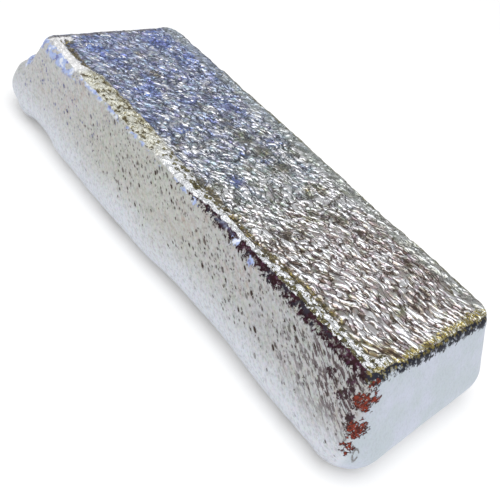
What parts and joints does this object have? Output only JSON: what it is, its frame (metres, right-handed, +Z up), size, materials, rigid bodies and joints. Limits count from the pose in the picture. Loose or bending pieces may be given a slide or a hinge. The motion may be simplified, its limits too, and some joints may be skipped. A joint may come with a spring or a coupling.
{
  "type": "tin ingot",
  "caption": "Small tapered bar of cast tin, lying on its wide open face, with a crinkled narrow top, smooth drafted sides and a stepped, lapped end.",
  "frame": {"origin": "centre of the bar's plan at the level it rests on", "axes": "+X along the bar towards its plain end, +Y across it, +Z up through the narrow face"},
  "size_m": [0.1372, 0.0522, 0.0229],
  "materials": {
    "tin": "satin"
  },
  "bodies": {
    "root": {"ingot": "tin"}
  },
  "joints": []
}
